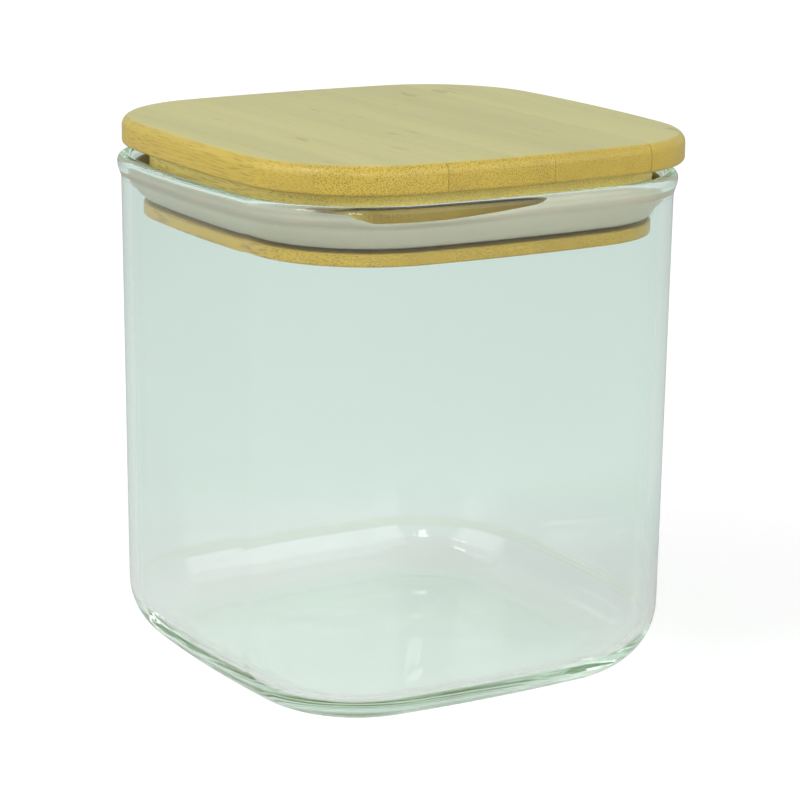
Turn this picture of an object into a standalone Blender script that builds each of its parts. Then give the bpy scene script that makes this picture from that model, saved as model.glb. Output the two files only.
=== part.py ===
"""Square glass storage jar with a push-in bamboo lid and a silicone seal.

Frame: metres, +Z up, origin on the table under the middle of the jar.
+Y runs with the grain of the lid's strips.
"""
import math

import bmesh
import bpy

# Jar: outside widths are measured across the middle of two opposite sides, which swell
# a little, each in an arc of swell_radius
jar_height = 0.1089
foot_width = 0.1014
foot_corner = 0.0290
mouth_width = 0.1022
mouth_corner = 0.0276
swell_radius = 0.300
wall_thickness = 0.0025
base_thickness = 0.0045
heel_radius = 0.0150
inner_heel_radius = 0.0125
foot_ring_width = 0.0030
push_up_height = 0.0008
push_up_slope = 0.0040
rim_flare = 0.0008
rim_bead_height = 0.0055

# Lid board: strips of bamboo glued edge to edge, with the joints running along Y
board_overhang = 0.00065
board_corner = 0.0274
board_thickness = 0.0060
board_top_round = 0.0012
board_bottom_round = 0.0020
board_over_rim = 0.0021
strip_width = 0.0245
glue_line = 0.0003
# One joint lies at this X of the board, and no strip at its edge is narrower than the narrowest
strip_joint_x = 0.0049
narrowest_strip = 0.0040
# The board is glued this far off the middle of the plug
board_shift_x = 0.0010
board_shift_y = -0.0005

# Plug under the board: three bamboo plates, the middle one smaller for the seal's groove
groove_depth = 0.0048
# Room between the plates and the glass, and how much tighter their corners are than the mouth's
plug_clearance = 0.0023
plug_corner_step = 0.0026
flange_thickness = 0.0040
core_thickness = 0.0072
retainer_thickness = 0.0031
plate_edge_round = 0.0004

# Seal: a silicone ring in the groove, with a lip that is bent up against the glass
seal_foot_thickness = 0.0024
seal_foot_inset = 0.0010
seal_foot_lift = 0.0006
seal_lip_thickness = 0.0012
seal_lip_bend = 0.0026
seal_lip_rise = 0.0036
seal_lip_round = 0.0004

# Gap left between pieces that touch
contact_gap = 0.0003

# Counts
side_steps = 4
corner_steps = 10
heel_steps = 6
rim_steps = 8
flare_steps = 4
edge_steps = 4
quarters = 4

# Widths that follow from the mouth
board_width = mouth_width + 2 * board_overhang
plug_width = mouth_width - 2 * (wall_thickness + plug_clearance)
plug_corner = mouth_corner - plug_corner_step

# Heights that follow from the sizes above
board_low = jar_height + board_over_rim
flange_low = board_low - contact_gap - flange_thickness
core_low = flange_low - contact_gap - core_thickness
retainer_low = core_low - contact_gap - retainer_thickness

# Angles
quarter_turn = math.radians(90)
sharp_edge_angle = math.radians(35)


def clear_scene():
    for item in list(bpy.data.objects):
        bpy.data.objects.remove(item, do_unlink=True)


def make_material(name, colour, roughness, transmission=0.0, ior=1.5):
    material = bpy.data.materials.new(name)
    material.use_nodes = True
    shader = material.node_tree.nodes["Principled BSDF"]
    shader.inputs["Base Color"].default_value = (*colour, 1.0)
    shader.inputs["Roughness"].default_value = roughness
    shader.inputs["Metallic"].default_value = 0.0
    shader.inputs["Transmission Weight"].default_value = transmission
    shader.inputs["IOR"].default_value = ior
    return material


def arc(centre_x, centre_y, radius, start, end, steps):
    """Points along an arc, without its last one."""
    points = []
    for step in range(steps):
        angle = start + (end - start) * step / steps
        x = centre_x + radius * math.cos(angle)
        y = centre_y + radius * math.sin(angle)
        points.append((x, y))
    return points


def soft_square(width, corner, swell):
    """A square with slightly swelling sides, drawn as eight arcs that meet without a kink.

    The side arcs have the radius swell and turn by the same small angle either way from
    the middle of a side, so an outline set in by one distance all round is the same
    drawing with that distance taken off the half width and off both radii.
    """
    half = width / 2
    bend = math.acos((swell - half) / (swell - corner) / math.sqrt(2)) - quarter_turn / 2
    corner_centre = (swell - corner) * math.sin(bend)
    quarter = arc(half - swell, 0, swell, -bend, bend, side_steps)
    quarter += arc(corner_centre, corner_centre, corner, bend, quarter_turn - bend, corner_steps)
    points = []
    for turn in range(quarters):
        cosine = round(math.cos(quarter_turn * turn))
        sine = round(math.sin(quarter_turn * turn))
        points += [(x * cosine - y * sine, x * sine + y * cosine) for x, y in quarter]
    return points


def make_ring(width, corner, swell, height):
    """One closed outline at one height, as a list of positions."""
    return [(x, y, height) for x, y in soft_square(width, corner, swell)]


def loft(rings, closed):
    """A skin through a row of rings: closed on itself, or capped flat at both ends."""
    mesh = bmesh.new()
    loops = [[mesh.verts.new(position) for position in ring] for ring in rings]
    followers = loops[1:] + loops[:1] if closed else loops[1:]
    for low, high in zip(loops, followers):
        for number in range(len(low)):
            before = number - 1
            mesh.faces.new((low[before], low[number], high[number], high[before]))
    if not closed:
        mesh.faces.new(loops[0])
        mesh.faces.new(loops[-1])
    bmesh.ops.recalc_face_normals(mesh, faces=mesh.faces)
    return mesh


def place(name, mesh, material, parent=None, location=(0, 0, 0)):
    """Turns a bmesh into a named object, at a place under its parent."""
    data = bpy.data.meshes.new(name)
    mesh.to_mesh(data)
    mesh.free()
    data.materials.append(material)
    data.shade_smooth()
    data.set_sharp_from_angle(angle=sharp_edge_angle)
    item = bpy.data.objects.new(name, data)
    bpy.context.scene.collection.objects.link(item)
    item.parent = parent
    item.location = location
    return item


def quarter_round(radius, steps):
    """Pairs of inset and rise for a quarter round, from a flat face to an upright one."""
    pairs = []
    for step in range(steps + 1):
        angle = quarter_turn * step / steps
        pairs.append((radius * (1 - math.sin(angle)), radius * (1 - math.cos(angle))))
    return pairs


def jar_section():
    """Pairs of offset from the outer wall and height: up the outside, over the rim, down inside."""
    rim_thickness = wall_thickness + rim_flare
    rim_round = rim_thickness / 2
    bead_low = jar_height - rim_bead_height
    bead_wide = jar_height - rim_round
    foot_inset = heel_radius + foot_ring_width
    section = [(-foot_inset - push_up_slope, push_up_height), (-foot_inset, 0)]
    section += [(-inset, rise) for inset, rise in quarter_round(heel_radius, heel_steps)]
    section.append((0, jar_height / 2))
    for step in range(flare_steps):
        share = step / flare_steps
        out = rim_flare * (1 - math.cos(math.pi * share)) / 2
        section.append((out, bead_low + (bead_wide - bead_low) * share))
    for step in range(rim_steps + 1):
        angle = math.pi * step / rim_steps
        out = rim_flare - rim_round + rim_round * math.cos(angle)
        section.append((out, bead_wide + rim_round * math.sin(angle)))
    section.append((-wall_thickness, jar_height / 2))
    for inset, rise in reversed(quarter_round(inner_heel_radius, heel_steps)):
        section.append((-wall_thickness - inset, base_thickness + rise))
    return section


def jar_ring(offset, height):
    """The jar's outline at a height, set out by an offset from the outer wall."""
    share = height / jar_height
    width = foot_width + (mouth_width - foot_width) * share
    corner = foot_corner + (mouth_corner - foot_corner) * share
    return make_ring(width + 2 * offset, corner + offset, swell_radius + offset, height)


def make_jar(material):
    rings = [jar_ring(offset, height) for offset, height in jar_section()]
    return place("glass_jar", loft(rings, closed=False), material)


def plate_rings(width, corner, thickness, low_round, high_round):
    """Rings of a flat plate with a rounded lower and a rounded upper edge."""
    rows = list(quarter_round(low_round, edge_steps))
    for inset, rise in reversed(quarter_round(high_round, edge_steps)):
        rows.append((inset, thickness - rise))
    rings = []
    for inset, height in rows:
        rings.append(make_ring(width - 2 * inset, corner - inset, swell_radius - inset, height))
    return rings


def keep_between(mesh, low_x, high_x):
    """Saws a plate along Y and keeps what lies between two cuts."""
    for cut_x, side in ((low_x, -1), (high_x, 1)):
        everything = mesh.verts[:] + mesh.edges[:] + mesh.faces[:]
        cut = bmesh.ops.bisect_plane(
            mesh, geom=everything, plane_co=(cut_x, 0, 0), plane_no=(side, 0, 0), clear_outer=True)
        edges = [item for item in cut["geom_cut"] if isinstance(item, bmesh.types.BMEdge)]
        if edges:
            bmesh.ops.contextual_create(mesh, geom=edges)
    bmesh.ops.recalc_face_normals(mesh, faces=mesh.faces)


def strip_joints():
    """X of each glue joint, counted both ways from the one nearest the middle."""
    reach = board_width / 2 - narrowest_strip
    first = math.ceil((-reach - strip_joint_x) / strip_width)
    last = math.floor((reach - strip_joint_x) / strip_width)
    return [strip_joint_x + strip_width * number for number in range(first, last + 1)]


def make_board(material, parent):
    """The board, as the strips that it is glued from, with one outline sawn across them all."""
    middle = (board_shift_x, board_shift_y, board_low)
    cuts = [-board_width] + strip_joints() + [board_width]
    for number, (low_x, high_x) in enumerate(zip(cuts, cuts[1:]), start=1):
        rings = plate_rings(
            board_width, board_corner, board_thickness, board_bottom_round, board_top_round)
        mesh = loft(rings, closed=False)
        keep_between(mesh, low_x + glue_line / 2, high_x - glue_line / 2)
        place(f"board_strip_{number}", mesh, material, parent, middle)


def make_plug(material, parent):
    """Flange, core and retaining plate, stacked under the board."""
    plates = (
        ("plug_flange", 0, flange_thickness, flange_low),
        ("plug_core", groove_depth, core_thickness, core_low),
        ("retaining_plate", 0, retainer_thickness, retainer_low))
    for name, inset, thickness, low in plates:
        rings = plate_rings(
            plug_width - 2 * inset, plug_corner - inset, thickness, plate_edge_round, plate_edge_round)
        place(name, loft(rings, closed=False), material, parent, (0, 0, low))


def seal_rings():
    """Rings round the seal's section: its foot hugs the plug's core, its lip follows the wall."""
    hug_inset = groove_depth - contact_gap
    lip_inset = wall_thickness + contact_gap
    lip_top = seal_lip_bend + seal_lip_rise

    def on_plug(inset, rise):
        width = plug_width - 2 * inset
        return make_ring(width, plug_corner - inset, swell_radius - inset, core_low + rise)

    def on_lip(inset, rise):
        return jar_ring(-lip_inset - inset, core_low + rise)

    return [
        on_plug(hug_inset, 0),
        on_plug(hug_inset - seal_foot_inset, 0),
        on_plug(seal_foot_inset, seal_foot_lift),
        on_lip(seal_lip_round, seal_lip_bend - seal_lip_round),
        on_lip(0, seal_lip_bend + seal_lip_round),
        on_lip(0, lip_top - seal_lip_round),
        on_lip(seal_lip_thickness / 2, lip_top),
        on_lip(seal_lip_thickness, lip_top - seal_lip_round),
        on_lip(seal_lip_thickness, seal_lip_bend + seal_lip_round),
        on_plug(2 * seal_foot_inset, seal_foot_thickness),
        on_plug(hug_inset, seal_foot_thickness)]


def make_seal(material, parent):
    place("silicone_seal", loft(seal_rings(), closed=True), material, parent)


def build():
    clear_scene()
    lid_axis = bpy.data.objects.new("lid_axis", None)
    bpy.context.scene.collection.objects.link(lid_axis)
    glass = make_material("clear_glass", (0.86, 0.95, 0.91), 0.02, transmission=1.0, ior=1.47)
    board_wood = make_material("bamboo_board", (0.62, 0.46, 0.20), 0.55)
    plug_wood = make_material("bamboo_plug", (0.58, 0.41, 0.16), 0.60)
    silicone = make_material("grey_silicone", (0.52, 0.54, 0.47), 0.45)
    make_jar(glass)
    make_board(board_wood, lid_axis)
    make_plug(plug_wood, lid_axis)
    make_seal(silicone, lid_axis)


build()
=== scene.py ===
# %% [markdown]
# # A square glass jar with a bamboo lid
#
# The real object is a blown glass body with a lid that is pushed into its mouth. The lid is a board
# of glued bamboo strips, with three smaller bamboo plates under it and a silicone seal between them.
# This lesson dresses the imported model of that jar: it makes a fine, smooth mesh for each piece,
# gives each one its finish, and lights the scene as plain studio work.

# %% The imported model
import math

import bmesh
import bpy
from mathutils import Matrix, Vector


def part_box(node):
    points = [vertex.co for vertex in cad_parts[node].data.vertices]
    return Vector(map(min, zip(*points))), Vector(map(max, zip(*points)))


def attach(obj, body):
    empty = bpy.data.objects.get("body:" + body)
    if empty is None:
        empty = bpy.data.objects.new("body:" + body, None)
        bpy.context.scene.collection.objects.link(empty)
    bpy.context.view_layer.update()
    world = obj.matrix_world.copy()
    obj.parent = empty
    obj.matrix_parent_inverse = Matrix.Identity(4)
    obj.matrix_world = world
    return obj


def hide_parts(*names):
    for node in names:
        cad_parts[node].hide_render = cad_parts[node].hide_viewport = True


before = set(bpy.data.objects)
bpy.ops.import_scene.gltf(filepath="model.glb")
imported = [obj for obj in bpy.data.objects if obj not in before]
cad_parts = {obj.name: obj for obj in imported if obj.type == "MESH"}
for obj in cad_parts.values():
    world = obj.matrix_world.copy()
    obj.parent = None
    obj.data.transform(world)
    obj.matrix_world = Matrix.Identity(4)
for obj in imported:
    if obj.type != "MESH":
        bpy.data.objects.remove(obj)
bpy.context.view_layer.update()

# %% [markdown]
# ## The camera
#
# The camera comes first, because every later choice is judged through it. Its place could be
# guessed by eye, but lines on the object tell it better: the board's edges, the rim and the base
# fix where the camera stood. The angles below are those of such a fit. The lens is long and the
# camera is close to level, so the sides of the jar stay almost parallel.

# %% Camera
picture_side = 800
camera_azimuth = math.radians(-31.02)
camera_elevation = math.radians(14.56)
camera_roll = math.radians(0.58)
camera_distance = 0.63592
camera_target = Vector((0, 0, 0.0494))
focal_pixels = 2932.66
centre_pixel = (391.65, 430.91)
sensor_width_mm = 36
clip_factor = 20


def aim(azimuth, elevation):
    """The direction from the object towards a viewer: azimuth 0 stands in front, on -Y."""
    level = math.cos(elevation)
    return Vector((math.sin(azimuth) * level, -math.cos(azimuth) * level, math.sin(elevation)))


def make_camera():
    data = bpy.data.cameras.new("camera")
    data.sensor_width = sensor_width_mm
    data.lens = focal_pixels * sensor_width_mm / picture_side
    data.shift_x = (picture_side / 2 - centre_pixel[0]) / picture_side
    data.shift_y = (centre_pixel[1] - picture_side / 2) / picture_side
    data.clip_start = camera_distance / clip_factor
    data.clip_end = camera_distance * clip_factor
    camera = bpy.data.objects.new("camera", data)
    bpy.context.scene.collection.objects.link(camera)
    back = aim(camera_azimuth, camera_elevation)
    turn = back.to_track_quat("Z", "Y").to_matrix() @ Matrix.Rotation(camera_roll, 3, "Z")
    camera.matrix_world = Matrix.Translation(camera_target + back * camera_distance) @ turn.to_4x4()
    bpy.context.scene.camera = camera
    return camera


camera = make_camera()
print("camera at", [round(value, 4) for value in camera.location])

# %% [markdown]
# ## Colours that look as they are written
#
# Colours are picked as a screen shows them, from 0 to 255, but shaders count light. The helpers
# turn one into the other, by the curve that screens use. Standard view keeps the two in step, so
# that a chosen colour comes out as chosen wherever the light is plain.

# %% Screen colours
screen_white = 255
curve_offset = 0.055
curve_power = 2.4
dark_end = 0.04
dark_slope = 12.92
bpy.context.scene.view_settings.view_transform = "Standard"


def light_share(shown):
    """The share of white light that goes with a share of a screen's full scale."""
    if shown > dark_end:
        return ((shown + curve_offset) / (1 + curve_offset)) ** curve_power
    return shown / dark_slope


def screen_colour(red, green, blue):
    """A colour as a screen shows it, from 0 to 255 a channel, as a shader colour with alpha."""
    return (*(light_share(value / screen_white) for value in (red, green, blue)), 1.0)


white = screen_colour(255, 255, 255)
print("mid grey is", round(screen_colour(128, 128, 128)[0], 3), "and white is", white[0])

# %% [markdown]
# ## Building materials
#
# A shader tree is easier to read as a list of nodes with their inputs than as dozens of links.
# `add_node` makes one node and fills its inputs: a socket is linked, anything else is a value. The
# others put the few nodes that every finish needs behind plain words.

# %% Node helpers
def add_node(tree, kind, inputs=None, **settings):
    """Adds a node. Inputs are by name or number, as a socket to link or as a value to set."""
    made = tree.nodes.new(kind)
    for name, value in settings.items():
        setattr(made, name, value)
    for key, value in (inputs or {}).items():
        if isinstance(value, bpy.types.NodeSocket):
            tree.links.new(value, made.inputs[key])
        else:
            made.inputs[key].default_value = value
    return made


def do_math(tree, operation, first, second=0.0, clamp=False):
    """One Math node, as its output socket."""
    made = add_node(tree, "ShaderNodeMath", {0: first, 1: second}, operation=operation, use_clamp=clamp)
    return made.outputs[0]


def multiply(tree, first, second):
    return do_math(tree, "MULTIPLY", first, second)


def how_far(tree, value, middle):
    """How far a value lies from a middle, on either side."""
    return do_math(tree, "ABSOLUTE", do_math(tree, "SUBTRACT", value, middle))


def fade(tree, value, start, end, low=0.0, high=1.0):
    """Maps a value that runs from start to end onto low to high, softly and without overshoot."""
    made = add_node(tree, "ShaderNodeMapRange", {"Value": value, 1: start, 2: end, 3: low, 4: high})
    made.interpolation_type = "SMOOTHSTEP"
    return made.outputs[0]


def mix_colours(tree, share, first, second):
    return add_node(tree, "ShaderNodeMix", {0: share, 6: first, 7: second}, data_type="RGBA").outputs[2]


helpers = (add_node, do_math, multiply, how_far, fade, mix_colours)
print("node helpers:", [helper.__name__ for helper in helpers])

# %% Material helpers
default_detail = 2.0
default_roughness = 0.5
noise_span = (0.3, 0.7)


def new_material(name):
    """A material with its tree, its shader, and the place on the object as a socket."""
    material = bpy.data.materials.new(name)
    material.use_nodes = True
    tree = material.node_tree
    place = add_node(tree, "ShaderNodeTexCoord").outputs["Object"]
    return material, tree, tree.nodes["Principled BSDF"], place


def axes_of(tree, vector):
    return add_node(tree, "ShaderNodeSeparateXYZ", {0: vector}).outputs


def add_noise(tree, place, scale, detail=default_detail, roughness=default_roughness):
    """Noise with about as many blots to a metre as its scale says."""
    return add_node(tree, "ShaderNodeTexNoise", {
        "Vector": place, "Scale": scale, "Detail": detail, "Roughness": roughness}).outputs["Fac"]


def darken(tree, colour, share):
    """A colour times a share of light."""
    made = add_node(tree, "ShaderNodeVectorMath", {0: colour, "Scale": share}, operation="SCALE")
    return made.outputs[0]


print("most of a noise lies from", noise_span[0], "to", noise_span[1])

# %% [markdown]
# ## Background
#
# The photograph is cut out on white. A white world and a wide pale floor do the same here. The jar
# itself was photographed before a pale backdrop, a little darker than white, and that is what still
# shows in the glass: so glossy and transmitted rays meet a weaker glow with a breath of mint. The
# world is also brighter for these rays than for the object, or it would wash out the wood.

# %% What each ray meets
def by_ray(tree, camera, glass, gloss, other):
    """A value that differs for the camera, for transmitted and glossy rays, and for all others."""
    path = add_node(tree, "ShaderNodeLightPath").outputs
    value = other
    for kind, seen in (("Is Glossy Ray", gloss), ("Is Transmission Ray", glass), ("Is Camera Ray", camera)):
        value = add_node(tree, "ShaderNodeMix", {0: path[kind], 2: value, 3: seen}).outputs[0]
    return value


def backdrop_colour(tree, tint):
    """White, but tinted for the rays that show the backdrop in the glass."""
    path = add_node(tree, "ShaderNodeLightPath").outputs
    in_glass = do_math(tree, "MAXIMUM", path["Is Glossy Ray"], path["Is Transmission Ray"])
    return mix_colours(tree, in_glass, white, tint)


print("rays are told apart as camera, transmitted, glossy and other")

# %% World
backdrop_tint = screen_colour(236, 255, 244)
world_seen = 1.0
world_in_glass = 0.76
world_in_gloss = 0.70
world_light = 0.46


def make_world():
    world = bpy.data.worlds.new("studio")
    world.use_nodes = True
    tree = world.node_tree
    background = tree.nodes["Background"].inputs
    strength = by_ray(tree, world_seen, world_in_glass, world_in_gloss, world_light)
    tree.links.new(strength, background["Strength"])
    tree.links.new(backdrop_colour(tree, backdrop_tint), background["Color"])
    bpy.context.scene.world = world


make_world()
print("the world is seen at", world_seen, "and lights the object at", world_light)

# %% [markdown]
# ## The floor
#
# The floor takes the jar's soft shadow, and a glow that only the camera sees lifts it to full white.
# In the glass it has another glow: weaker and neutral near the jar, which shows in the base, and
# brighter and minty further off, which shows in the walls.
#
# The floor lies a tenth of a millimetre under the foot, because two faces in one plane make ripples
# in the base. Light that has entered the base can bounce in it dozens of times before it finds a way
# out. Rays that are given up too soon leave black spots, so the number of steps is high.

# %% Floor finish
floor_shades = (screen_colour(194, 195, 194), screen_colour(196, 196, 196))
floor_grain_scale = 30.0
floor_roughness = 0.9
near_floor_glow = 0.57
far_floor_glow = 0.75
near_floor_tint = screen_colour(254, 249, 250)
far_floor_tint = screen_colour(223, 252, 238)
near_glow_in_glass = 0.29
far_glow_in_glass = 0.365
floor_glow_in_gloss = 0.10
foot_reach = 0.05
tint_reach = 0.15
shadow_reach = 0.35


def make_floor_finish():
    material, tree, shader, place = new_material("studio_floor")
    grain = add_noise(tree, place, floor_grain_scale)
    tree.links.new(mix_colours(tree, grain, *floor_shades), shader.inputs["Base Color"])
    shader.inputs["Roughness"].default_value = floor_roughness
    shader.inputs["Specular IOR Level"].default_value = 0.0
    away = add_node(tree, "ShaderNodeVectorMath", {0: place}, operation="LENGTH").outputs["Value"]
    seen_glow = fade(tree, away, foot_reach, shadow_reach, near_floor_glow, far_floor_glow)
    glow_in_glass = fade(tree, away, foot_reach, tint_reach, near_glow_in_glass, far_glow_in_glass)
    glow = by_ray(tree, seen_glow, glow_in_glass, floor_glow_in_gloss, 0.0)
    tint = mix_colours(tree, fade(tree, away, foot_reach, tint_reach), near_floor_tint, far_floor_tint)
    emission = add_node(tree, "ShaderNodeEmission", {"Color": backdrop_colour(tree, tint), "Strength": glow})
    both = add_node(tree, "ShaderNodeAddShader", {0: shader.outputs[0], 1: emission.outputs[0]})
    tree.links.new(both.outputs[0], tree.nodes["Material Output"].inputs["Surface"])
    return material


floor_finish = make_floor_finish()
print("floor finish:", floor_finish.name)

# %% Floor
floor_reach = 3.0
floor_drop = 0.0001


def make_floor():
    mesh = bmesh.new()
    bmesh.ops.create_grid(
        mesh, x_segments=1, y_segments=1, size=floor_reach, matrix=Matrix.Translation((0, 0, -floor_drop)))
    data = bpy.data.meshes.new("floor")
    mesh.to_mesh(data)
    mesh.free()
    data.materials.append(floor_finish)
    floor = bpy.data.objects.new("floor", data)
    bpy.context.scene.collection.objects.link(floor)


make_floor()
print("floor reaches", floor_reach, "m each way")

# %% Light steps
light_step_limit = 200
cycles = bpy.context.scene.cycles
cycles.max_bounces = light_step_limit
cycles.transmission_bounces = light_step_limit
cycles.glossy_bounces = light_step_limit
print("light may take", light_step_limit, "steps")

# %% [markdown]
# ## Lamps
#
# Two large soft lamps stand on the left and on the right. They are large and dim rather than small
# and bright, because their mirror images show in the curved heel of the glass. A smaller one hangs
# high on the left and leaves a soft gleam on the board's rounded corner. The last one, over the
# lens, adds little to the wood, but it makes the bright points on the rim and on the heel.

# %% Lamps
def add_lamp(name, azimuth, elevation, distance, size, radiance):
    """A lamp that looks at the jar. Its power follows from its size and how bright it looks."""
    data = bpy.data.lights.new(name, "AREA")
    data.shape = "RECTANGLE" if len(size) == 2 else "DISK"
    data.size = size[0]
    data.size_y = size[-1]
    area = size[0] * size[1] if len(size) == 2 else math.pi * size[0] ** 2 / 4
    data.energy = radiance * math.pi * area
    lamp = bpy.data.objects.new(name, data)
    bpy.context.scene.collection.objects.link(lamp)
    back = aim(math.radians(azimuth), math.radians(elevation))
    lamp.matrix_world = Matrix.Translation(camera_target + back * distance) @ (
        back.to_track_quat("Z", "Y").to_matrix().to_4x4())
    return lamp


soft_lamp = {"elevation": 28, "distance": 1.05, "size": (1.10, 0.80), "radiance": 1.4}
lamps = [
    add_lamp("left_soft_lamp", azimuth=-98, **soft_lamp),
    add_lamp("right_soft_lamp", azimuth=18, **soft_lamp),
    add_lamp("high_lamp", azimuth=-80, elevation=50, distance=1.00, size=(0.25, 0.25), radiance=9),
    add_lamp("lens_lamp", azimuth=-31, elevation=27, distance=0.72, size=(0.12,), radiance=16),
]
for lamp in lamps:
    print(lamp.name, round(lamp.data.energy, 2), "W")

# %% [markdown]
# ## One outline for everything
#
# Jar, board, plates and seal share one drawing: a square with round corners whose sides swell a
# little, as blown glass does. It could be a superellipse, but eight tangent arcs are what a maker
# would draw, and they can be set in or out by a plain distance. The arcs of one quarter are drawn
# and the other three follow by turning them.

# %% Drawing an outline
quarter = math.radians(90)
side_steps = 8
corner_steps = 36
side_radius = 0.300


def outline(half, corner, side):
    """Points round one outline. Half is the distance out to the middle of a side."""
    bend = math.acos((side - half) / (side - corner) / math.sqrt(2)) - quarter / 2
    reach = (side - corner) * math.sin(bend)
    arcs = (
        ((half - side, 0), side, 0, bend, side_steps),
        ((reach, reach), corner, bend, quarter - 2 * bend, corner_steps),
        ((0, half - side), side, quarter - bend, bend, side_steps))
    points = []
    for centre, radius, start, sweep, steps in arcs:
        for step in range(steps):
            angle = start + sweep * step / steps
            points.append(Vector(centre) + radius * Vector((math.cos(angle), math.sin(angle))))
    turns = [Matrix.Rotation(quarter * turn, 2) for turn in range(4)]
    return [turn @ point for turn in turns for point in points]


print("an outline has", 4 * (2 * side_steps + corner_steps), "points")

# %% [markdown]
# ## From outlines to skins
#
# A jar wall, a plate and the seal are all skins through a row of outlines. Each row starts as a
# circle that is pushed onto its outline, and `bridge_loops` joins it to the next. Where the skin
# isn't closed on itself, its two ends get a flat face, and a narrow inset round that face keeps its
# shading flat up to the edge. Where it is, all faces are turned the same way before the last band
# goes in, because that band follows its neighbours and would otherwise be twisted.

# %% Joining outlines
shading_border = 0.0003


def draw_row(mesh, half, corner, side, height):
    """Draws one closed outline at a height and returns its edges."""
    points = outline(half, corner, side)
    ring = bmesh.ops.create_circle(mesh, segments=len(points), radius=half)["verts"]
    for vertex, point in zip(ring, points):
        vertex.co = (*point, height)
    return list(dict.fromkeys(edge for vertex in ring for edge in vertex.link_edges))


def skin(rows, closed=False):
    """A mesh through rows of (half, corner, side, height), capped unless it closes on itself."""
    mesh = bmesh.new()
    loops = [draw_row(mesh, *row) for row in rows]
    for low, high in zip(loops, loops[1:]):
        bmesh.ops.bridge_loops(mesh, edges=low + high)
    if closed:
        bmesh.ops.recalc_face_normals(mesh, faces=mesh.faces)
        bmesh.ops.bridge_loops(mesh, edges=loops[-1] + loops[0])
    else:
        for loop in (loops[0], loops[-1]):
            cap = bmesh.ops.contextual_create(mesh, geom=loop)["faces"]
            bmesh.ops.inset_individual(mesh, faces=cap, thickness=shading_border)
    bmesh.ops.recalc_face_normals(mesh, faces=mesh.faces)
    return mesh


def quarter_round(radius, steps):
    """Pairs of inset and rise for a quarter round, from a flat face to an upright one."""
    angles = [quarter * step / steps for step in range(steps + 1)]
    return [(radius * (1 - math.sin(angle)), radius * (1 - math.cos(angle))) for angle in angles]


print("a quarter round starts", quarter_round(1, 1)[0][0], "radius in from the wall")

# %% [markdown]
# ## From a mesh to a piece
#
# Each finished mesh stands for one imported piece. It replaces that node and rides on the same body, so that
# the lid still lifts off the jar. Faces are shaded smooth, and edges stay sharp only where two faces meet at
# a steep angle, as at a saw cut.

# %% Dressing a piece
sharp_angle = math.radians(40)


def dress(name, mesh, material, body, node):
    """Makes a finished piece that stands for a CAD node and rides on its body."""
    data = bpy.data.meshes.new(name)
    mesh.to_mesh(data)
    mesh.free()
    data.materials.append(material)
    data.shade_smooth()
    data.set_sharp_from_angle(angle=sharp_angle)
    piece = bpy.data.objects.new(name, data)
    bpy.context.scene.collection.objects.link(piece)
    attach(piece, body)
    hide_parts(node)
    print(name, "has", len(data.polygons), "faces")


print("edges over", round(math.degrees(sharp_angle)), "degrees stay sharp")

# %% [markdown]
# ## Glass
#
# Borosilicate glass is almost clear, with a breath of green that shows where you look along the
# wall. Two things make that tint: the surface passes a little less red than green, and the glass
# itself soaks up some light on the way through. The surface isn't perfect either. Blown glass has
# slow waves, which bend what is seen through it, and handling leaves a faint haze. The waves die
# out towards the base, which lies close in its mould.
#
# Where the heel begins, two narrow lines of slightly greener glass are laid on. They climb a little from
# front to back, and are strongest at the back and on the right.
#
# Glass would throw a shadow as dark as a solid thing, because a renderer doesn't find the light
# that goes through it. So rays from the lamps meet a clear stand-in instead, tinted like the glass.

# %% Heel lines
ring_height = 0.0125
ring_slope = 0.013
line_spread = 0.0006
line_reach = 0.0006
line_core = 0.0001
ring_side_span = (-0.02, 0.03)


def make_ring_mask(tree, axes):
    """Two narrow lines round the heel, at a height that climbs from front to back."""
    level = do_math(tree, "ADD", multiply(tree, axes["Y"], ring_slope), ring_height)
    from_line = how_far(tree, how_far(tree, axes["Z"], level), line_spread)
    lines = fade(tree, from_line, line_reach, line_core)
    side = fade(tree, do_math(tree, "ADD", axes["X"], axes["Y"]), *ring_side_span)
    return multiply(tree, lines, side)


print("the ring's lines lie", round(2000 * line_spread, 2), "mm apart")

# %% Glass finish
glass_tint = (0.955, 0.987, 0.976, 1.0)
ring_tint = (0.895, 0.955, 0.84, 1.0)
glass_shadow_tint = (0.93, 0.96, 0.945, 1.0)
glass_depth_tint = (0.25, 0.72, 0.30, 1.0)
glass_density = 1.6
glass_ior = 1.47
wave_scale = 38.0
wave_detail = 1.0
wave_strength = 0.1
wave_depth = 0.0004
wave_heights = (0.012, 0.030)
haze_scale = 90.0
haze_detail = 3.0
haze_span = (0.45, 0.75)
haze_roughness = 0.012


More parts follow.
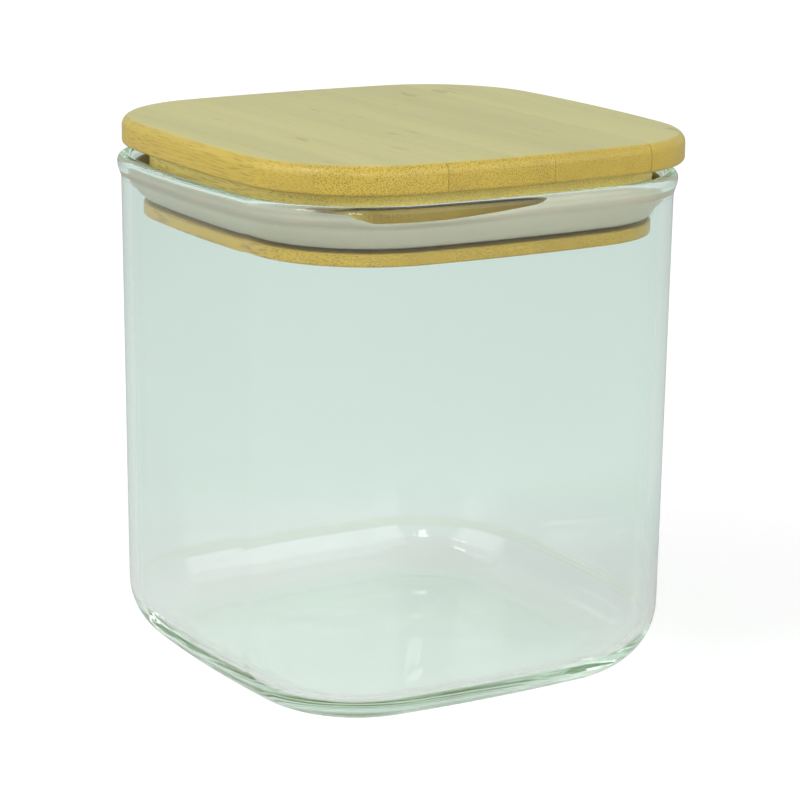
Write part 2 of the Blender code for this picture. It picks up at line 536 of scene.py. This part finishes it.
def make_glass():
    material, tree, shader, place = new_material("clear_glass")
    output = tree.nodes["Material Output"]
    axes = axes_of(tree, place)
    bump = add_node(tree, "ShaderNodeBump", {
        "Height": add_noise(tree, place, wave_scale, wave_detail),
        "Strength": fade(tree, axes["Z"], *wave_heights, 0.0, wave_strength),
        "Distance": wave_depth})
    haze = add_noise(tree, place, haze_scale, haze_detail)
    tint = mix_colours(tree, make_ring_mask(tree, axes), glass_tint, ring_tint)
    tree.links.new(tint, shader.inputs["Base Color"])
    tree.links.new(fade(tree, haze, *haze_span, 0.0, haze_roughness), shader.inputs["Roughness"])
    tree.links.new(bump.outputs["Normal"], shader.inputs["Normal"])
    shader.inputs["Transmission Weight"].default_value = 1.0
    shader.inputs["IOR"].default_value = glass_ior
    lamp_ray = add_node(tree, "ShaderNodeLightPath").outputs["Is Shadow Ray"]
    clear = add_node(tree, "ShaderNodeBsdfTransparent", {"Color": glass_shadow_tint})
    either = add_node(tree, "ShaderNodeMixShader", {
        0: lamp_ray, 1: shader.outputs[0], 2: clear.outputs[0]})
    tree.links.new(either.outputs[0], output.inputs["Surface"])
    depth = add_node(tree, "ShaderNodeVolumeAbsorption", {
        "Color": glass_depth_tint, "Density": glass_density})
    tree.links.new(depth.outputs[0], output.inputs["Volume"])
    return material


glass = make_glass()
print("glass lets through", [round(share, 2) for share in glass_tint[:3]], "at each wall")

# %% [markdown]
# ## The glass body
#
# The body is one closed skin: a shallow dome underneath, the foot ring, round the heel, up the wall,
# over the beaded rim, down the inside and round the inner heel to the floor. It could be a solid
# with a hollow cut out, but a section that is written as offsets from the outer wall keeps the wall
# even. The wall leans out a little from foot to mouth, and the corners get tighter on the way.

# %% The wall
jar_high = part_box("glass_jar")[1]
jar_height = jar_high.z
foot_half = 0.0507
foot_corner = 0.0290
mouth_corner = 0.0276
wall_thickness = 0.0025
rim_flare = 0.0008
mouth_half = jar_high.x - rim_flare


def wall_row(offset, height):
    """The outline of the jar's wall at a height, set out from the outer face by an offset."""
    share = height / jar_height
    half = foot_half + (mouth_half - foot_half) * share
    corner = foot_corner + (mouth_corner - foot_corner) * share
    return half + offset, corner + offset, side_radius + offset, height


print("the wall leans out by", round(1000 * (mouth_half - foot_half), 2), "mm")

# %% The jar's section
base_thickness = 0.0045
heel_radius = 0.0150
inner_heel_radius = 0.0100
rim_bead_height = 0.0055
outer_wall_shares = (0.25, 0.5, 0.75)
inner_wall_shares = (0.8, 0.6, 0.4)
heel_steps = 24
rim_steps = 18
flare_steps = 10


def jar_section():
    """Pairs of offset and height, from the foot up the outside and down to the floor inside."""
    rim_round = (wall_thickness + rim_flare) / 2
    bead_low = jar_height - rim_bead_height
    bead_wide = jar_height - rim_round
    section = [(-inset, rise) for inset, rise in quarter_round(heel_radius, heel_steps)]
    section += [(0, heel_radius + (bead_low - heel_radius) * share) for share in outer_wall_shares]
    for step in range(flare_steps):
        share = step / flare_steps
        out = rim_flare * (1 - math.cos(math.pi * share)) / 2
        section.append((out, bead_low + (bead_wide - bead_low) * share))
    for step in range(rim_steps + 1):
        angle = math.pi * step / rim_steps
        out = rim_flare - rim_round + rim_round * math.cos(angle)
        section.append((out, bead_wide + rim_round * math.sin(angle)))
    section += [(-wall_thickness, jar_height * share) for share in inner_wall_shares]
    for inset, rise in reversed(quarter_round(inner_heel_radius, heel_steps)):
        section.append((-wall_thickness - inset, base_thickness + rise))
    return section


print("the section has", len(jar_section()), "points")

# %% Glass body
foot_ring_width = 0.0030
push_up_height = 0.0005
push_up_steps = 24


def push_up_rows():
    """Rows of the underside's shallow dome, from its middle to the foot ring."""
    foot_row = wall_row(-heel_radius - foot_ring_width, 0)[:3]
    shares = [step / push_up_steps for step in range(1, push_up_steps + 1)]
    heights = [push_up_height * (1 - share * share) ** 2 for share in shares]
    return [(*(size * share for size in foot_row), height) for share, height in zip(shares, heights)]


jar_mesh = skin(push_up_rows() + [wall_row(offset, height) for offset, height in jar_section()])
dress("glass_body", jar_mesh, glass, "jar", "glass_jar")

# %% [markdown]
# ## How bamboo is made
#
# Bamboo is a bundle of dark fibres in a pale, soft filling. Sawn across, the fibres show as dots.
# Sawn along, the same fibres show as needles. So one pattern in space makes both: round cells on the
# cut across the grain, which run on along it, and a noise that breaks them into needles. It is right
# on every face without any mapping, because the saw only uncovers what is inside. The grain here
# runs along Y, and a slow noise makes it sway a little.
#
# The group puts out masks and leaves the colours to each material: the fibre bundles, the fine
# grain between them, slow clouds of tone, rare stains, the glue of the joint at a given X, and how
# far a face looks up.

# %% Grain helpers
sway_scale = 45.0
sway_detail = 1.0
sway_reach = 0.0008


def new_group(name, inputs, masks):
    """A node group with inputs given as name: (kind, default), and one number out for each mask."""
    tree = bpy.data.node_groups.new(name, "ShaderNodeTree")
    for socket, (kind, default) in inputs.items():
        made = tree.interface.new_socket(socket, in_out="INPUT", socket_type=kind)
        if default is not None:
            made.default_value = default
    for socket in masks:
        tree.interface.new_socket(socket, in_out="OUTPUT", socket_type="NodeSocketFloat")
    return tree, tree.nodes.new("NodeGroupInput").outputs, tree.nodes.new("NodeGroupOutput").inputs


def stretch(tree, place, share):
    """Squeezes a place along the grain to a share, so that a pattern on it is drawn out."""
    made = add_node(tree, "ShaderNodeVectorMath", {0: place, 1: (1.0, share, 1.0)}, operation="MULTIPLY")
    return made.outputs[0]


def sway(tree, place):
    """Pushes a place aside by a slow noise, across the grain only."""
    slow = add_node(tree, "ShaderNodeTexNoise", {
        "Vector": place, "Scale": sway_scale, "Detail": sway_detail})
    aside = add_node(tree, "ShaderNodeVectorMath", {
        0: slow.outputs["Color"], 1: (sway_reach, 0.0, sway_reach)}, operation="MULTIPLY")
    pushed = add_node(tree, "ShaderNodeVectorMath", {0: place, 1: aside.outputs[0]}, operation="ADD")
    return pushed.outputs[0]


print("fibres sway by up to", round(1000 * sway_reach, 2), "mm")

# %% Fibre bundles
bundles_per_metre = 2400.0
bundle_size_share = 0.42
bundle_core_share = 0.4
bundle_randomness = 0.9
bundle_stretch_share = 0.20
break_scale = 1900.0
break_detail = 1.0
break_span = (0.32, 0.56)
faintest_bundle = 0.15


def make_bundles(tree, place, per_metre, size):
    """Dark bundles: round cells across the grain, each fainter and stronger by turns along it."""
    axes = axes_of(tree, place)
    across = add_node(tree, "ShaderNodeCombineXYZ", {0: axes["X"], 1: axes["Z"]}).outputs[0]
    cells = add_node(tree, "ShaderNodeTexVoronoi", {
        "Vector": across, "Scale": per_metre, "Randomness": bundle_randomness}, voronoi_dimensions="2D")
    bundles = fade(tree, cells.outputs["Distance"], size, multiply(tree, size, bundle_core_share))
    breaks = add_noise(tree, stretch(tree, place, bundle_stretch_share), break_scale, break_detail)
    return multiply(tree, bundles, fade(tree, breaks, *break_span, faintest_bundle, 1.0))


print("bundles lie about", round(1000 / bundles_per_metre, 2), "mm apart")

# %% Bamboo pattern
no_joint_x = 1.0
fibre_scale = 3600.0
fibre_roughness = 0.6
fibre_stretch_share = 0.03
cloud_scale = 150.0
cloud_stretch_share = 0.06
stain_scale = 210.0
stain_detail = 3.0
stain_roughness = 0.65
stain_stretch_share = 0.25
stain_span = (0.63, 0.74)
flat_span = (0.84, 0.98)
glue_reach = 0.00022
glue_core_share = 0.25


def make_bamboo_pattern():
    tree, given, masks = new_group(
        "bamboo_pattern",
        {"Vector": ("NodeSocketVector", None), "Bundles per Metre": ("NodeSocketFloat", bundles_per_metre),
         "Bundle Size": ("NodeSocketFloat", bundle_size_share), "Joint X": ("NodeSocketFloat", no_joint_x)},
        ("Bundles", "Fibres", "Clouds", "Flat Face", "Glue", "Stains"))
    place = sway(tree, given["Vector"])
    fibre_place = stretch(tree, place, fibre_stretch_share)
    cloud_place = stretch(tree, given["Vector"], cloud_stretch_share)
    stain_place = stretch(tree, place, stain_stretch_share)
    stains = add_noise(tree, stain_place, stain_scale, stain_detail, stain_roughness)
    face = add_node(tree, "ShaderNodeNewGeometry").outputs["Normal"]
    from_joint = how_far(tree, axes_of(tree, given["Vector"])["X"], given["Joint X"])
    made = {
        "Bundles": make_bundles(tree, place, given["Bundles per Metre"], given["Bundle Size"]),
        "Fibres": add_noise(tree, fibre_place, fibre_scale, roughness=fibre_roughness),
        "Clouds": add_noise(tree, cloud_place, cloud_scale),
        "Flat Face": fade(tree, axes_of(tree, face)["Z"], *flat_span),
        "Glue": fade(tree, from_joint, glue_reach, glue_reach * glue_core_share),
        "Stains": fade(tree, stains, *stain_span)}
    for mask, socket in made.items():
        tree.links.new(socket, masks[mask])
    return tree


bamboo_pattern = make_bamboo_pattern()
print("bamboo pattern puts out", [item.name for item in bamboo_pattern.interface.items_tree
                                  if item.in_out == "OUTPUT"])

# %% [markdown]
# ## Bamboo finishes
# The pale colour is also painted sheen of the light from above. It goes only on faces that look up, so that
# undersides keep the darker edge colour as painted shade.
#
# The faces of the board were sanded after the glue set, and are pale. Its edges were shaped by a router,
# which closes the grain and warms the colour. Each strip comes from another cane, so each has its own tone
# and its own strength of dots, set here from the photograph. The strips share one function, and their
# differences are plain values in a table.
#
# A thin coat over the wood gives it the satin gleam of an oiled finish. Where the seal's lip lies against
# the flange at the front, and along the top of the plate below, the wood is painted darker, as painted
# shade.

# %% Painted shade on the plug
painted_shade_colour = screen_colour(168, 137, 8)
shade_fade = 0.0003
shade_back_fade = 0.004
beyond = 1.0
no_painted_shade = (0.0, 0.0, 0.0)
# Painted shade goes on the flange's lower front edge and along the plate's top edge.
flange_painted_shade = (0.0, 0.1071, -0.044)
plate_painted_shade = (0.0985, beyond, beyond)


def make_painted_shade_mask(tree, place, low, high, back):
    """Where shade is painted on the wood: between two heights and in front of a Y."""
    axes = axes_of(tree, place)
    above = fade(tree, axes["Z"], low - shade_fade, low + shade_fade)
    below = fade(tree, axes["Z"], high + shade_fade, high - shade_fade)
    before = fade(tree, axes["Y"], back + shade_back_fade, back)
    return multiply(tree, multiply(tree, above, below), before)


print("the flange is soaked up to", round(1000 * flange_painted_shade[1], 1), "mm")

# %% Bamboo colour
# Partly sanded wood and partly painted sheen, for faces that look up.
face_and_sheen_colour = screen_colour(205, 192, 118)
edge_colour = screen_colour(204, 177, 70)
bundle_colour = screen_colour(140, 102, 26)
tone_swing = 0.11
fibre_tones = (0.94, 1.05)
flat_dots_share = 0.12
flat_glue_share = 0.2
stain_share = 0.40


def bamboo_colour(tree, masks, clean, tone, dots, glue):
    """The wood's colour: clean wood in its own tone, then its dots, its glue line and its stains."""
    flat = masks["Flat Face"]
    swing = tone * tone_swing / 2
    clouds = fade(tree, masks["Clouds"], *noise_span, tone - swing, tone + swing)
    fibres = fade(tree, masks["Fibres"], *noise_span, *fibre_tones)
    shaded = darken(tree, clean, multiply(tree, clouds, fibres))
    dots_here = fade(tree, flat, 0, 1, dots, dots * flat_dots_share)
    dark = do_math(tree, "MULTIPLY", masks["Bundles"], dots_here, clamp=True)
    glue_here = multiply(tree, masks["Glue"], fade(tree, flat, 0, 1, glue, glue * flat_glue_share))
    stained = multiply(tree, multiply(tree, masks["Stains"], flat), stain_share)
    colour = shaded
    for share in (dark, glue_here, stained):
        colour = mix_colours(tree, share, colour, bundle_colour)
    return colour


print("dots are", flat_dots_share, "as strong on a sanded face")

# %% Bamboo finish
fibre_span = (0.2, 0.8)
wood_roughness = (0.36, 0.54)
oil_film = 0.3
oil_film_roughness = 0.22
pit_share = -0.6
relief_strength = 0.30
relief_depth = 0.00012
# The flange's colour is brighter than its wood: painted light that lifts the shade under the board's
# overhang.
flange_painted_light_colour = screen_colour(255, 232, 124)
plug_edge_colour = screen_colour(187, 152, 22)


def make_bamboo(name, tone, dots, shift, edge=edge_colour, joint_x=no_joint_x, glue=0.0, painted_shade=no_painted_shade):
    """Bamboo with a tone and a strength of dots. Shift moves the pattern, for another cane."""
    material, tree, shader, place = new_material(name)
    cane = add_node(tree, "ShaderNodeMapping", {"Vector": place, "Location": (0, shift, shift)})
    pattern = add_node(
        tree, "ShaderNodeGroup", {"Vector": cane.outputs[0], "Joint X": joint_x}, node_tree=bamboo_pattern)
    masks = pattern.outputs
    # Faces that look up take the pale colour, partly painted sheen; undersides keep the edge colour as
    # painted shade.
    bare = mix_colours(tree, masks["Flat Face"], edge, face_and_sheen_colour)
    # Painted shade: the wood turns towards the shade colour where the mask says.
    clean = mix_colours(tree, make_painted_shade_mask(tree, place, *painted_shade), bare, painted_shade_colour)
    tree.links.new(bamboo_colour(tree, masks, clean, tone, dots, glue), shader.inputs["Base Color"])
    tree.links.new(fade(tree, masks["Fibres"], *fibre_span, *wood_roughness), shader.inputs["Roughness"])
    shader.inputs["Coat Weight"].default_value = oil_film
    shader.inputs["Coat Roughness"].default_value = oil_film_roughness
    relief = do_math(tree, "ADD", masks["Fibres"], multiply(tree, masks["Bundles"], pit_share))
    bump = add_node(tree, "ShaderNodeBump", {
        "Height": relief, "Strength": relief_strength, "Distance": relief_depth})
    tree.links.new(bump.outputs["Normal"], shader.inputs["Normal"])
    return material


flange_bamboo = make_bamboo(
    "bamboo_flange", tone=1.0, dots=0.35, shift=0.52, edge=flange_painted_light_colour, painted_shade=flange_painted_shade)
plug_bamboo = make_bamboo(
    "bamboo_plug", tone=0.98, dots=1.0, shift=0.31, edge=plug_edge_colour, painted_shade=plate_painted_shade)
print("the plug's bamboo is soaked from", round(1000 * plate_painted_shade[0], 1), "mm up")

# %% [markdown]
# ## The lid board
#
# The board is a plate with a wide round along its top edge and a narrow one below. On the bench it
# is glued from strips first and shaped afterwards, and the mesh does the same: the whole plate is
# made for every strip, and two saw cuts keep one strip of it. The joints are hairlines, so the glue
# shows as thin dark lines on the edge and hardly at all on the sanded top.

# %% Plates and saw cuts
round_steps = 8


def plate_rows(half, corner, low, high, low_round, high_round):
    """Rows for a flat plate between two heights, with a rounded lower and upper edge."""
    edge = [(inset, low + rise) for inset, rise in quarter_round(low_round, round_steps)]
    edge += [(inset, high - rise) for inset, rise in reversed(quarter_round(high_round, round_steps))]
    return [(half - inset, corner - inset, side_radius - inset, height) for inset, height in edge]


def saw(mesh, cut_x, keep_right):
    """Saws along the grain at an X and closes the cut."""
    everything = mesh.verts[:] + mesh.edges[:] + mesh.faces[:]
    side = -1 if keep_right else 1
    cut = bmesh.ops.bisect_plane(
        mesh, geom=everything, plane_co=(cut_x, 0, 0), plane_no=(side, 0, 0), clear_outer=True)
    edges = [item for item in cut["geom_cut"] if isinstance(item, bmesh.types.BMEdge)]
    bmesh.ops.contextual_create(mesh, geom=edges)


print("a plate has", 2 * (round_steps + 1), "rows")

# %% The whole board
strip_names = [f"board_strip_{number}" for number in range(1, 6)]
strip_boxes = [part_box(name) for name in strip_names]
board_low = Vector([min(low[axis] for low, high in strip_boxes) for axis in range(3)])
board_high = Vector([max(high[axis] for low, high in strip_boxes) for axis in range(3)])
board_middle = (board_low + board_high) / 2
board_corner = 0.0274
board_top_round = 0.0022
board_bottom_round = 0.0008


def make_board():
    """The board before it is sawn, in its place."""
    half = (board_high.x - board_low.x) / 2
    mesh = skin(plate_rows(
        half, board_corner, board_low.z, board_high.z, board_bottom_round, board_top_round))
    bmesh.ops.translate(mesh, verts=mesh.verts, vec=(board_middle.x, board_middle.y, 0))
    return mesh


print("the board is", [round(1000 * size, 1) for size in board_high - board_low], "mm")

# %% Board strips
hairline = 0.00002
cane_shift = 0.1
strip_tone_shares = (0.96, 1.01, 1.00, 0.97, 1.00)
strip_dot_shares = (0.38, 0.72, 0.64, 0.38, 0.24)
strip_glue_shares = (0.15, 1.0, 0.60, 1.0, 0.0)
joints = [(left[1].x + right[0].x) / 2 for left, right in zip(strip_boxes, strip_boxes[1:])]
for number, node in enumerate(strip_names):
    strip_mesh = make_board()
    glue_x = no_joint_x
    if number > 0:
        saw(strip_mesh, joints[number - 1] + hairline / 2, keep_right=True)
    if number < len(joints):
        glue_x = joints[number]
        saw(strip_mesh, glue_x - hairline / 2, keep_right=False)
    bmesh.ops.recalc_face_normals(strip_mesh, faces=strip_mesh.faces)
    bamboo = make_bamboo(
        f"bamboo_strip_{number + 1}", strip_tone_shares[number], strip_dot_shares[number],
        shift=cane_shift * number, joint_x=glue_x, glue=strip_glue_shares[number])
    dress(f"lid_strip_{number + 1}", strip_mesh, bamboo, "lid", node)

# %% [markdown]
# ## The plug
#
# Three plates are glued under the board. The flange sits straight under it, the core is smaller and
# leaves a groove, and the retaining plate closes the groove from below, so that the seal can't slip
# off. Their edges are only broken, not rounded. The flange reaches a little way down over the core,
# where the seal's lip hides its lower edge, and the retaining plate is a little thinner than in the
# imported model. The whole plug sits a hair off the middle, with the board.

# %% Plug plates
plug_corner = 0.0250
broken_edge = 0.0004
plug_shift = Vector((0.0007, -0.0004, 0))
flange_skirt = 0.0016
plate_trim = 0.0004
flange_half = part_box("plug_flange")[1].x
plug_plates = (
    ("plug_flange", -flange_skirt, flange_bamboo),
    ("plug_core", 0, plug_bamboo),
    ("retaining_plate", plate_trim, plug_bamboo))
for node, trim, bamboo in plug_plates:
    low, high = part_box(node)
    inset = flange_half - high.x
    plate_mesh = skin(plate_rows(
        high.x, plug_corner - inset, low.z + trim, high.z, broken_edge, broken_edge))
    bmesh.ops.translate(plate_mesh, verts=plate_mesh.verts, vec=plug_shift)
    dress(f"bamboo_{node}", plate_mesh, bamboo, "lid", node)

# %% [markdown]
# ## Silicone
#
# The seal is pale grey silicone: soft, a little cloudy and faintly glossy, with dust on it, as silicone
# always has. The light goes a little way into it, which subsurface scattering does. Towards its upper edge
# it is painted darker, most on the left, as painted shade.

# %% Silicone finish
silicone_shades = (screen_colour(186, 178, 158), screen_colour(194, 187, 168))
cloudiness_scale = 70.0
silicone_roughness = (0.34, 0.5)
silicone_depth_share = 0.15
silicone_depth = 0.001
dust_colour = screen_colour(245, 245, 238)
dust_per_metre = 420.0
speck_span = (0.10, 0.05)
dust_rarity = 0.82
dust_strength = 0.7
# Painted shade: between these heights the seal turns darker, most on the left.
lip_shade_heights = (0.1036, 0.1052)
lip_shade_span = (0.005, -0.030)
lip_shade_shares = (0.06, 0.32)


def make_silicone():
    material, tree, shader, place = new_material("grey_silicone")
    axes = axes_of(tree, place)
    cloud = add_noise(tree, place, cloudiness_scale)
    clean = mix_colours(tree, cloud, *silicone_shades)
    # Painted shade towards the upper edge, strongest on the left.
    shade = fade(tree, axes["X"], *lip_shade_span, *lip_shade_shares)
    top_shade = multiply(tree, fade(tree, axes["Z"], *lip_shade_heights), shade)
    shaded = darken(tree, clean, do_math(tree, "SUBTRACT", 1.0, top_shade))
    dust = add_node(tree, "ShaderNodeTexVoronoi", {"Vector": place, "Scale": dust_per_metre})
    specks = fade(tree, dust.outputs["Distance"], *speck_span)
    chance = add_node(tree, "ShaderNodeSeparateColor", {0: dust.outputs["Color"]}).outputs[0]
    rare = multiply(tree, specks, do_math(tree, "GREATER_THAN", chance, dust_rarity))
    dusty = mix_colours(tree, multiply(tree, rare, dust_strength), shaded, dust_colour)
    tree.links.new(dusty, shader.inputs["Base Color"])
    tree.links.new(fade(tree, cloud, *noise_span, *silicone_roughness), shader.inputs["Roughness"])
    shader.inputs["Subsurface Weight"].default_value = silicone_depth_share
    shader.inputs["Subsurface Scale"].default_value = silicone_depth
    return material


silicone = make_silicone()
print("light goes about", round(1000 * silicone_depth, 1), "mm into the silicone")

# %% [markdown]
# ## The seal
#
# The seal is a ring with a foot that sits in the groove and a lip that bends up against the glass.
# Its inner rows follow the plug and its outer rows follow the wall of the jar, and the two outlines
# have different corners. So each row is given by how far it lies from one to the other: 0 on the
# plug's edge and 1 on the glass. Less than 0 is in the groove, where rows are set in from the plug's
# edge by a plain distance, as the core is, so that the seal hugs it evenly.
#
# The lip is pressed a hair's breadth into the glass. Where silicone touches glass there is no film
# of air left to mirror the light, and the lip is seen right through the wall. On one side it hangs
# lower, and the wood behind shows through the rim there.

# %% The seal's profile
seal_low, seal_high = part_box("silicone_seal")
groove_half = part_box("plug_core")[1].x
hug_clearance = 0.0003
lip_reach = seal_high.x - flange_half
hug_share = (groove_half + hug_clearance - flange_half) / lip_reach
seal_profile = (
    (hug_share, 0.0005), (-0.50, 0.0005), (-0.25, 0.0006), (0.00, 0.0010), (0.25, 0.0018), (0.50, 0.0028),
    (0.72, 0.0038), (0.88, 0.0048), (0.97, 0.0056), (1.00, 0.0061), (1.00, 0.0067), (0.96, 0.0073),
    (0.88, 0.0077), (0.78, 0.0076), (0.71, 0.0070), (0.63, 0.0060), (0.48, 0.0050), (0.26, 0.0041),
    (0.00, 0.0034), (-0.30, 0.0029), (hug_share, 0.0026))
print("the lip reaches out by", round(1000 * lip_reach, 2), "mm")

# %% Seal rows
seal_press = 0.00005


def seal_row(share, rise):
    """A row of the seal, from the plug's outline at 0 to the wall's at 1, or set in from the plug's."""
    height = seal_low.z + rise
    plug = (flange_half, plug_corner, side_radius)
    wall = wall_row(seal_press - wall_thickness, height)
    if share < 0:
        wall = [size + lip_reach for size in plug]
    return (*(inner + (outer - inner) * share for inner, outer in zip(plug, wall)), height)


def follow_plug(mesh):
    """Shifts the seal with the plug where it sits in the groove, and less towards the glass."""
    points = len(mesh.verts) // len(seal_profile)
    for number, vertex in enumerate(mesh.verts):
        share = seal_profile[number // points][0]
        vertex.co += plug_shift * (1 - min(max(share, 0), 1))


print("the lip is pressed", round(1000 * seal_press, 2), "mm into the glass")

# %% A sagging lip
lip_sag = 0.0012
lip_sag_start = 0.0035
sag_left = (-40, -35)
sag_right = (-20, 7)


def sag_share(azimuth):
    """The share of the sag at an azimuth in degrees: it starts suddenly and ends slowly."""
    rising = (azimuth - sag_left[0]) / (sag_left[1] - sag_left[0])
    falling = (sag_right[1] - azimuth) / (sag_right[1] - sag_right[0])
    return max(min(rising, falling, 1), 0)


def sag_lip(mesh):
    """Lets the lip hang a little lower on one side, as a soft lip never sits evenly."""
    lip_top = seal_low.z + max(rise for share, rise in seal_profile)
    sag_low = seal_low.z + lip_sag_start
    for vertex in mesh.verts:
        azimuth = math.degrees(math.atan2(vertex.co.x, -vertex.co.y))
        up = max(vertex.co.z - sag_low, 0) / (lip_top - sag_low)
        vertex.co.z -= lip_sag * up * sag_share(azimuth)


seal_mesh = skin([seal_row(share, rise) for share, rise in seal_profile], closed=True)
follow_plug(seal_mesh)
sag_lip(seal_mesh)
dress("seal", seal_mesh, silicone, "lid", "silicone_seal")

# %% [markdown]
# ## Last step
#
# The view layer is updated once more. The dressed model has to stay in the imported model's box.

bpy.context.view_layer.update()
